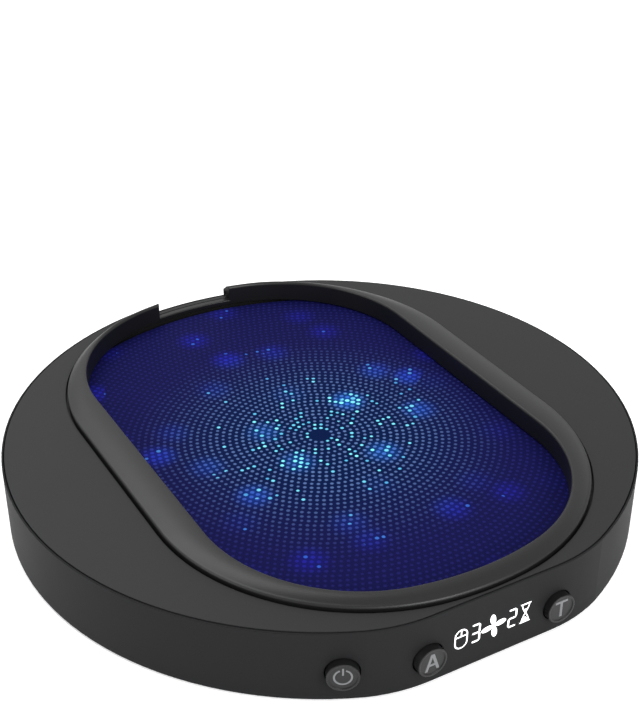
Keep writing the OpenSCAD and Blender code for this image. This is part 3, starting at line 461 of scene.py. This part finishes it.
        # the sparks: a bar that rises outwards and dips in a group
        bar = add_node(
            tree,
            "MapRange",
            {
                "Value": radius,
                "From Min": self.bar_mm[0],
                "From Max": self.bar_mm[1],
                "To Min": self.bar_low,
                "To Max": 1.0,
            },
            interpolation_type="SMOOTHSTEP",
        ).outputs["Result"]
        crowd = add_node(tree, "Math", {0: group, 1: near}, operation="MULTIPLY").outputs[0]
        dip = add_node(
            tree, "Math", {0: crowd, 1: -self.bar_dip, 2: bar}, operation="MULTIPLY_ADD"
        ).outputs[0]
        is_spark = add_node(
            tree, "Math", {0: chance.outputs["Value"], 1: dip}, operation="GREATER_THAN"
        ).outputs[0]
        # each dot's radius, and the soft edge that the print gives it
        swell = add_node(
            tree,
            "Math",
            {0: group, 1: self.dot_swell_mm, 2: self.dot_mm},
            operation="MULTIPLY_ADD",
        ).outputs[0]
        size = add_node(
            tree,
            "Math",
            {0: draws.outputs[1], 1: self.dot_spread_mm, 2: swell},
            operation="MULTIPLY_ADD",
        ).outputs[0]
        inner, outer = (
            add_node(tree, "Math", {0: size, 1: self.dot_blur_mm}, operation=step).outputs[0]
            for step in ("SUBTRACT", "ADD")
        )
        dot = add_node(
            tree,
            "MapRange",
            {"Value": distance, "From Min": inner, "From Max": outer, "To Min": 1.0, "To Max": 0.0},
            interpolation_type="SMOOTHSTEP",
        ).outputs["Result"]
        has_ring = add_node(
            tree, "Math", {0: ring, 1: self.first_ring - 0.5}, operation="GREATER_THAN"
        ).outputs[0]
        shown = add_node(tree, "Math", {0: dot, 1: has_ring}, operation="MULTIPLY").outputs[0]
        # the inks, each from its colour at the edge to its colour in the middle
        inks = (
            (self.ground_edge, self.ground_middle),
            (self.dot_edge, self.dot_middle),
            (self.glow_edge, self.glow_middle),
        )
        ground, plain, glow = (
            add_node(
                tree, "Mix", {0: fade, 6: linear(edge), 7: linear(core)}, data_type="RGBA"
            ).outputs[2]
            for edge, core in inks
        )
        glowing = add_node(tree, "Mix", {0: group, 6: plain, 7: glow}, data_type="RGBA").outputs[2]
        bright = add_node(
            tree,
            "Mix",
            {0: draws.outputs[2], 6: linear(self.spark_dim), 7: linear(self.spark)},
            data_type="RGBA",
        ).outputs[2]
        bright = add_node(
            tree, "Mix", {0: fade, 6: linear(self.spark_edge), 7: bright}, data_type="RGBA"
        ).outputs[2]
        dots = add_node(
            tree, "Mix", {0: is_spark, 6: glowing, 7: bright}, data_type="RGBA"
        ).outputs[2]
        halo = add_node(tree, "Math", {0: group, 1: self.halo}, operation="MULTIPLY").outputs[0]
        lit_ground = add_node(
            tree, "Mix", {0: halo, 6: ground, 7: glow}, data_type="RGBA"
        ).outputs[2]
        colour = add_node(
            tree, "Mix", {0: shown, 6: lit_ground, 7: dots}, data_type="RGBA"
        ).outputs[2]
        shader = add_node(
            tree,
            "BsdfPrincipled",
            {
                "Base Color": colour,
                "Roughness": self.roughness,
                "IOR": PLASTIC_IOR,
                "Specular IOR Level": self.gloss,
            },
        )
        add_node(tree, "OutputMaterial", {"Surface": shader.outputs["BSDF"]})
        return material


@dataclass(frozen=True)
class LitInlay:
    """Clear-white inlay lit from behind: it glows all over, with a faint haze in the resin."""

    name: str
    colour: str = "#ffffff"
    strength: float = 1.0
    roughness: float = 0.3
    haze_mm: float = 2.0
    haze_depth: float = 0.1

    def build(self) -> bpy.types.Material:
        """Build the material.

        Returns:
            The finished material.
        """
        material, tree = new_material(self.name)
        place = add_node(tree, "TexCoord").outputs["Object"]
        haze = add_node(
            tree, "TexNoise", {"Vector": place, "Scale": 1 / (self.haze_mm * MM), "Detail": 1.0}
        )
        level = add_node(
            tree,
            "MapRange",
            {
                "Value": haze.outputs["Fac"],
                "To Min": self.strength * (1 - self.haze_depth),
                "To Max": self.strength,
            },
        )
        shader = add_node(
            tree,
            "BsdfPrincipled",
            {
                "Base Color": linear(self.colour),
                "Roughness": self.roughness,
                "Emission Color": linear(self.colour),
                "Emission Strength": level.outputs["Result"],
            },
        )
        add_node(tree, "OutputMaterial", {"Surface": shader.outputs["BSDF"]})
        return material


@dataclass(frozen=True)
class BoardLaminate:
    """Glass-fibre board under green solder mask: glossy, its copper tracks a lighter green.

    The tracks are the joints of a brick pattern, raised by their own height. Its rows are a
    quarter of the pattern's unit high, so the unit is four times the tracks' pitch.
    """

    name: str
    mask: str = "#1d6b45"
    track: str = "#2f8557"
    track_pitch_mm: float = 1.1
    track_height_mm: float = 0.03
    track_strength: float = 0.5
    joint: float = 0.05
    roughness: float = 0.28

    def build(self) -> bpy.types.Material:
        """Build the material.

        Returns:
            The finished material.
        """
        material, tree = new_material(self.name)
        place = add_node(tree, "TexCoord").outputs["Object"]
        bricks = add_node(
            tree,
            "TexBrick",
            {
                "Vector": place,
                "Scale": 1 / (self.track_pitch_mm * 4 * MM),
                "Mortar Size": self.joint,
                "Color1": linear(self.mask),
                "Color2": linear(self.mask),
                "Mortar": linear(self.track),
            },
        )
        bump = add_node(
            tree,
            "Bump",
            {
                "Height": bricks.outputs["Fac"],
                "Distance": self.track_height_mm * MM,
                "Strength": self.track_strength,
            },
        )
        shader = add_node(
            tree,
            "BsdfPrincipled",
            {
                "Base Color": bricks.outputs["Color"],
                "Roughness": self.roughness,
                "Normal": bump.outputs["Normal"],
            },
        )
        add_node(tree, "OutputMaterial", {"Surface": shader.outputs["BSDF"]})
        return material


# ---------- the rim ----------


@dataclass(frozen=True)
class Slot:
    """A rounded slot along Y: round corners between straight sides and slightly curved ends.

    Its outline at outward direction a (0 points to +Y, 90 degrees to +X) is end_r * (sin a, cos a)
    while a is under the direction of the corner's centre c, and c + corner_r * (sin a, cos a)
    beyond it. The other three quarters are its mirror images.
    """

    end_r: float
    half_w: float
    corner_r: float
    middle_y: float

    @property
    def corner(self) -> tuple[float, float]:
        """Centre of the corner's arc, from the slot's middle."""
        x = self.half_w - self.corner_r
        return x, math.sqrt((self.end_r - self.corner_r) ** 2 - x * x)

    def quarter(self, turns: np.ndarray, grow: float) -> np.ndarray:
        """Points of the first quarter, grown outwards.

        Args:
            turns: outward directions in radians, 0 to pi / 2.
            grow: how far the points lie outside the outline.

        Returns:
            n by 2 array, without the slot's middle added.
        """
        cx, cy = self.corner
        way = np.stack([np.sin(turns), np.cos(turns)], axis=-1)
        end = way * (self.end_r + grow)
        corner = np.array([cx, cy]) + way * (self.corner_r + grow)
        return np.where((turns < math.atan2(cx, cy))[..., None], end, corner)


@dataclass
class Rim:
    """The raised oval rim: the wall of the well, and a shoulder that falls to the outer edge.

    A leg of thickness leg_t goes down from it round the well, and is cut through at the back by
    the notch, where a sill with small chamfers joins its two ends. roll_share is the part of the
    outer edge's roll that lies above edge_z.
    """

    well: Slot = Slot(72.85, 46.5, 39.7, 3.1)
    outer: Slot = Slot(76.5, 54.8, 52.0, 1.75)
    notch_half_w: float = 11.5
    notch_z: float = 16.6
    foot_z: float = 15.2
    leg_t: float = 1.8
    seat_z: float = 17.7
    crest_z: float = 21.0
    edge_z: float = 19.8
    crest_round: float = 0.8
    roll: float = 0.7
    roll_share: float = 0.35
    fall_power: float = 2.2
    sill_edge: float = 0.2
    crest_points: int = 8
    shoulder_points: int = 14
    shoulder_start: float = 0.08
    roll_points: int = 7
    roll_start: float = 0.25
    sill_stations: int = 25
    stations: int = 96
    pieces: list[bpy.types.Object] = field(default_factory=list)

    def stations_round(self, slot: Slot, grow: float, from_x: float) -> np.ndarray:
        """Points round the slot from the notch's right side clockwise to its left side.

        Args:
            slot: the outline.
            grow: how far outside it the points lie.
            from_x: X of the first point, at the back; the last is its mirror image.

        Returns:
            n by 2 array in the part's frame.
        """
        first = math.asin(from_x / (slot.end_r + grow))
        turns = np.linspace(first, math.pi / 2, self.stations)
        turns_front = np.linspace(0.0, math.pi / 2, self.stations)[::-1]
        right_back = slot.quarter(turns, grow)
        right_front = slot.quarter(turns_front, grow) * np.array([1.0, -1.0])
        right = np.concatenate([right_back, right_front])
        left = right[::-1][1:] * np.array([-1.0, 1.0])
        return np.concatenate([right, left]) + np.array([0.0, slot.middle_y])

    def section(self) -> list[tuple[float, float, float]]:
        """The rim's section from the leg's inner foot over the crest to the outer edge.

        Each entry is (share, offset, z): a point lies at share of the way from the well's line
        to the outer line, moved outwards by offset. The shoulder falls as share to the power of
        fall_power, and the crest's inner edge and the outer edge are quarter circles.

        Returns:
            The entries in order.
        """
        crest = self.crest_round
        top = [(0.0, 0.0, self.foot_z)]
        top += [
            (0.0, crest * (1 - math.cos(a)), self.crest_z - crest * (1 - math.sin(a)))
            for a in np.linspace(0.0, math.pi / 2, self.crest_points)
        ]
        fall = self.crest_z - self.edge_z - self.roll * self.roll_share
        shares = np.linspace(self.shoulder_start, 1.0, self.shoulder_points)
        top += [
            (s, crest * (1 - s) - self.roll * s, self.crest_z - fall * s**self.fall_power)
            for s in shares.tolist()
        ]
        low = self.crest_z - fall
        top += [
            (1.0, -self.roll * (1 - math.sin(a)), low - self.roll * (1 - math.cos(a)))
            for a in np.linspace(self.roll_start, math.pi / 2, self.roll_points)
        ]
        return top

    def build(self, material: bpy.types.Material) -> None:
        """Build the rim and its sill under the notch, and put them in the CAD rim's place.

        Args:
            material: the rim's plastic.
        """
        section = self.section()
        x = self.notch_half_w
        well = self.stations_round(self.well, 0.0, x)
        leg = self.stations_round(self.well, self.leg_t, x)
        outer = self.stations_round(self.outer, 0.0, x)
        across = outer - well
        away = across / np.linalg.norm(across, axis=1, keepdims=True)
        rows = [
            np.concatenate([well + across * s + away * off, np.full((len(well), 1), z)], axis=1)
            for s, off, z in section
        ]
        under = [(outer, self.seat_z), (leg, self.seat_z), (leg, self.foot_z)]
        rows += [np.concatenate([line, np.full((len(line), 1), z)], axis=1) for line, z in under]
        main = self.closed_sweep("rim_shell", np.stack(rows))
        sill_x = np.linspace(-x, x, self.sill_stations)
        lines = [
            np.sqrt((self.well.end_r + grow) ** 2 - sill_x**2) + self.well.middle_y
            for grow in (0.0, self.leg_t)
        ]
        inner, far, edge = lines[0], lines[1], self.sill_edge
        corners = [(inner, self.foot_z), (inner, self.notch_z - edge)]
        corners += [(inner + edge, self.notch_z), (far - edge, self.notch_z)]
        corners += [(far, self.notch_z - edge), (far, self.foot_z)]
        sill_rows = [np.stack([sill_x, y, np.full(sill_x.shape, z)], axis=1) for y, z in corners]
        sill = self.closed_sweep("rim_sill", np.stack(sill_rows)[:, ::-1])
        for piece in (main, sill):
            dress(piece, material)
            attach(piece, "case")
            self.pieces.append(piece)
        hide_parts("rim_bezel")

    @staticmethod
    def closed_sweep(name: str, rows: np.ndarray) -> bpy.types.Object:
        """Join rows of points into a closed strip with one face over each end.

        Args:
            name: the piece's name.
            rows: m by n by 3 array, m points round the section at each of n stations.

        Returns:
            The piece.
        """
        m, n = rows.shape[:2]
        number = np.arange(m * n).reshape(m, n)
        a, b = number, np.roll(number, -1, axis=0)
        quads = np.stack([a[:, :-1], a[:, 1:], b[:, 1:], b[:, :-1]], axis=-1).reshape(-1, 4)
        ends = [number[:, 0].tolist(), number[::-1, -1].tolist()]
        piece = mesh_piece(name, rows.reshape(-1, 3), quads.tolist() + ends)
        mesh = piece.data
        smooth = np.ones(len(mesh.polygons), dtype=bool)
        smooth[-len(ends) :] = False
        mesh.polygons.foreach_set("use_smooth", smooth)
        mesh.set_sharp_from_angle(angle=math.radians(SHARP_DEG))
        return piece


# ---------- the object and its studio ----------


class Finish(Enum):
    """The finishes of the pieces, each with what it gives the eye."""

    # ABS from a spark-eroded mould: nearly black and dull, a quiet form; its black is a touch
    # darker than the cover's, as painted shade on the side walls
    CASE = MouldedPlastic("satin_black_abs", "#1e1e1f", roughness=0.6, gloss=0.08)
    # a finer spark, with a wide soft sheen; its black is a little lighter than the case's, as
    # painted light on the faces that look up
    COVER = MouldedPlastic("fine_spark_black_abs", "#212122", roughness=0.5, gloss=0.18)
    # a polished mould with a clear line of light along the crest; its colour, the darkest black
    # here, is painted shade that darkens the well's inner wall and the far shoulder
    RIM = MouldedPlastic("polished_black_abs_painted_shade", "#101011", roughness=0.38, gloss=0.33)
    # a coarse texture under the case, which hides scratches and looks duller
    BASE = MouldedPlastic(
        "textured_black_abs", "#1c1c1d", roughness=0.62, grain_mm=0.7, grain_height_mm=0.03
    )
    # smooth keys whose round edges catch the light
    KEY = MouldedPlastic("black_key_abs", "#161617", roughness=0.38, edge_mm=0.35, gloss=0.3)
    # a second shot of grey plastic: mid grey and even against the black key
    LEGEND = MouldedPlastic(
        "grey_legend_inlay", "#6c6d6f", roughness=0.5, edge_mm=0.05, wander=0.02
    )
    # dyed ABS under the film: a dull dark blue edge round it
    TABLE = MouldedPlastic("dark_blue_abs", "#191931", roughness=0.55)
    # ink under a matt film: deep colour that hardly reflects the lamps
    FILM = PrintedFilm("printed_polyester_film")
    # moulded rubber: it takes the light with hardly a highlight
    RUBBER = MouldedPlastic(
        "black_silicone_rubber", "#1e1e1e", roughness=0.8, grain_mm=0.5, gloss=0.25
    )
    # undyed acetal: creamy white with a waxy gloss
    ACETAL = MouldedPlastic("natural_acetal", "#e6e1d3", roughness=0.36, grain_mm=1.2, gloss=0.5)
    # moulded nylon: black, with a tighter highlight than the case
    NYLON = MouldedPlastic("black_nylon", "#191919", roughness=0.35)
    # cast chip resin: matt and finely grained
    RESIN = MouldedPlastic("black_chip_resin", "#171717", roughness=0.6, grain_mm=0.2)
    # fired ceramic: tan, with a dry half gloss
    CERAMIC = MouldedPlastic("tan_ceramic", "#a58a5c", roughness=0.4)
    # moulded polycarbonate: bright white and half matt, as a light box is
    MASK = MouldedPlastic("white_polycarbonate", "#ededee", roughness=0.5)
    # extruded sheaths: one plain colour with a soft gloss along the wire
    RED_SHEATH = MouldedPlastic("red_pvc_sheath", "#9b322c", roughness=0.4, grain_mm=1.0)
    GREY_SHEATH = MouldedPlastic("dark_grey_pvc_sheath", "#38383a", roughness=0.4, grain_mm=1.0)
    # cast phosphor resin: pale yellow and smooth
    PHOSPHOR = MouldedPlastic("yellow_phosphor_resin", "#ece2a4", roughness=0.25)
    # zinc plate: light grey, a little cloudy
    ZINC = Metal("zinc_plated_steel", "#b9bcc0", roughness=0.32)
    # black oxide: dark metal with a broad highlight
    BLACK_OXIDE = Metal("black_oxide_steel", "#55575a", roughness=0.4)
    # ground steel: bright, with the closest lines
    GROUND = Metal("ground_steel", "#c9cbce", roughness=0.2, line_mm=0.15)
    # bare spring steel: a darker grey
    SPRING = Metal("spring_steel", "#9a9ca0", roughness=0.35)
    # turned brass: warm yellow with tool lines
    BRASS = Metal("turned_brass", "#c79d4f", roughness=0.25)
    # nickel plate: the brightest and smoothest of the metals
    NICKEL = Metal("nickel_plated_steel", "#cfd2d6", roughness=0.18)
    # solder mask: glossy green with lighter tracks
    BOARD = BoardLaminate("green_solder_mask")
    # lit resin: plain white signs that stay white from every side
    INLAY = LitInlay("lit_white_inlay")


NODE_FINISH: dict[Finish, tuple[str, ...]] = {
    Finish.CASE: ("side_housing",),
    Finish.COVER: ("top_cover",),
    Finish.RIM: ("rim_bezel",),
    Finish.BASE: ("base_cover",),
    Finish.KEY: ("power_button", "mode_button", "timer_button"),
    Finish.LEGEND: ("power_legend", "mode_legend", "timer_legend"),
    Finish.TABLE: ("turntable",),
    Finish.FILM: ("turntable_film",),
    Finish.RUBBER: ("rubber_feet",),
    Finish.ACETAL: ("drive_gear", "reduction_gear", "thrust_washer", "glide_pads"),
    Finish.NYLON: (
        "power_plunger",
        "mode_plunger",
        "timer_plunger",
        "push_switches",
        "board_header",
        "inlet_tongue",
    ),
    Finish.RESIN: ("controller_chip",),
    Finish.CERAMIC: ("board_parts",),
    Finish.MASK: ("display_mask",),
    Finish.RED_SHEATH: ("motor_leads",),
    Finish.GREY_SHEATH: ("supply_leads",),
    Finish.PHOSPHOR: ("display_lamps",),
    Finish.ZINC: (
        "rim_screws",
        "drive_gear_screws",
        "motor_can",
        "motor_plate",
        "motor_screws",
        "board_screws",
        "inlet_screws",
    ),
    Finish.BLACK_OXIDE: ("case_screws",),
    Finish.GROUND: ("spindle", "reduction_pin", "motor_shaft"),
    Finish.SPRING: ("spindle_clip", "reduction_clip"),
    Finish.BRASS: ("hub_bush", "motor_pinion"),
    Finish.NICKEL: ("inlet_shell",),
    Finish.BOARD: ("power_board", "front_board", "main_board", "inlet_board"),
    Finish.INLAY: ("display_icons",),
}


@dataclass
class Gadget:
    """The whole gadget: the carried-over nodes with their finishes, and the drawn rim."""

    nodes: Mapping[str, bpy.types.Object]
    rim: Rim = field(default_factory=Rim)

    def build(self) -> None:
        """Dress every node and build the rim."""
        built = {finish: finish.value.build() for finish in Finish}
        for finish, names in NODE_FINISH.items():
            for name in names:
                dress(self.nodes[name], built[finish])
                LOG.info("dressed %s in %s", name, finish.value.name)
        self.rim.build(built[Finish.RIM])


@dataclass(frozen=True)
class Lamp:
    """A square soft lamp, by its place, its side and its power."""

    name: str
    place_m: tuple[float, float, float]
    side_m: float
    power_w: float

    def build(self, target: Vector) -> None:
        """Hang the lamp and turn it to the target.

        Args:
            target: the point that it faces, in metres.
        """
        data = bpy.data.lights.new(self.name, "AREA")
        data.size, data.energy = self.side_m, self.power_w
        lamp = bpy.data.objects.new(self.name, data)
        way = target - Vector(self.place_m)
        turn = way.to_track_quat("-Z", "Y").to_matrix().to_4x4()
        lamp.matrix_world = Matrix.Translation(self.place_m) @ turn
        bpy.context.scene.collection.objects.link(lamp)


@dataclass
class Studio:
    """Plain pale floor, soft light and the camera of the photograph.

    The camera's focal length, height and heading were fitted to the photograph's outlines. The
    photograph's frame is 640 by 719, and sensor_mm is the length of the sensor's long side.
    """

    camera_mm: tuple[float, float, float] = (-143.23, -250.33, 206.17)
    target_mm: tuple[float, float, float] = (22.46, 39.19, 10.8)
    lens_mm: float = 67.13
    sensor_mm: float = 36.0
    clip_m: tuple[float, float] = (0.01, 20.0)
    floor_colour: str = "#fbfbfb"
    floor_m: float = 6.0
    floor_gap_mm: float = 0.02
    floor_glow: float = 0.35
    dome_low: float = 0.08
    dome_full: float = 0.9
    lamps: tuple[Lamp, ...] = (
        Lamp("top_lamp", place_m=(-0.12, 0.52, 0.85), side_m=0.6, power_w=4.2),
        Lamp("front_lamp", place_m=(0.1, -0.85, 0.5), side_m=0.5, power_w=7.5),
        Lamp("side_lamp", place_m=(-0.9, 0.12, 0.42), side_m=0.4, power_w=2.2),
    )

    def build(self) -> None:
        """Build the floor, the world, the lamps and the camera."""
        self.floor()
        self.world()
        for lamp in self.lamps:
            lamp.build(Vector(self.target_mm) * MM)
        self.camera()

    def floor(self) -> None:
        """Build a wide matt floor, a hair under the feet so that no two faces lie in one plane.

        Camera, gloss and glass see it glow by floor_glow on top of the light that it throws back.
        """
        half, z = self.floor_m / 2 / MM, -self.floor_gap_mm
        points = np.array([[-half, -half, z], [half, -half, z], [half, half, z], [-half, half, z]])
        piece = mesh_piece("studio_floor", points, [[0, 1, 2, 3]])
        material, tree = new_material("matt_studio_paper")
        colour = linear(self.floor_colour)
        paper = add_node(tree, "BsdfDiffuse", {"Color": colour})
        glow = add_node(tree, "Emission", {"Color": colour, "Strength": self.floor_glow})
        both = add_node(tree, "AddShader", {0: paper.outputs[0], 1: glow.outputs[0]})
        pick = add_node(
            tree,
            "MixShader",
            {0: background_rays(tree), 1: paper.outputs[0], 2: both.outputs[0]},
        )
        add_node(tree, "OutputMaterial", {"Surface": pick.outputs[0]})
        dress(piece, material)

    def world(self) -> None:
        """Build a white studio round the object, dimmer towards its walls than overhead.

        Camera, gloss and glass see it as plain white. The light that it throws on matt faces is
        dome_low at the horizon and rises with the direction's height to full white at dome_full.
        """
        world = bpy.data.worlds.new("studio_surround")
        world.use_nodes = True
        tree = world.node_tree
        tree.nodes.clear()
        way = add_node(tree, "TexCoord").outputs["Generated"]
        height = add_node(tree, "SeparateXYZ", {0: way}).outputs["Z"]
        dome = add_node(
            tree,
            "MapRange",
            {"Value": height, "From Max": self.dome_full, "To Min": self.dome_low, "To Max": 1.0},
        ).outputs["Result"]
        lit, plain = (
            add_node(tree, "Background", {"Color": WHITE, "Strength": level})
            for level in (dome, 1.0)
        )
        pick = add_node(
            tree,
            "MixShader",
            {0: background_rays(tree), 1: lit.outputs[0], 2: plain.outputs[0]},
        )
        add_node(tree, "OutputWorld", {"Surface": pick.outputs[0]})
        bpy.context.scene.world = world

    def camera(self) -> None:
        """Put the photograph's camera in place."""
        data = bpy.data.cameras.new("photo_camera")
        data.lens, data.sensor_width = self.lens_mm, self.sensor_mm
        data.clip_start, data.clip_end = self.clip_m
        camera = bpy.data.objects.new("photo_camera", data)
        place, target = Vector(self.camera_mm) * MM, Vector(self.target_mm) * MM
        turn = (target - place).to_track_quat("-Z", "Y").to_matrix().to_4x4()
        camera.matrix_world = Matrix.Translation(place) @ turn
        bpy.context.scene.collection.objects.link(camera)
        bpy.context.scene.camera = camera


def main() -> None:
    """Load the frame, build the gadget and its studio, and log the rim's pieces."""
    logging.basicConfig(level=logging.INFO, format="%(name)s: %(message)s")
    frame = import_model()
    bpy.context.scene.view_settings.view_transform = "Standard"
    Studio().build()
    gadget = Gadget(frame["nodes"])
    gadget.build()
    for piece in gadget.rim.pieces:
        LOG.info("built %s with %d faces", piece.name, len(piece.data.polygons))
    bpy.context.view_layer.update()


if __name__ == "__main__":
    main()
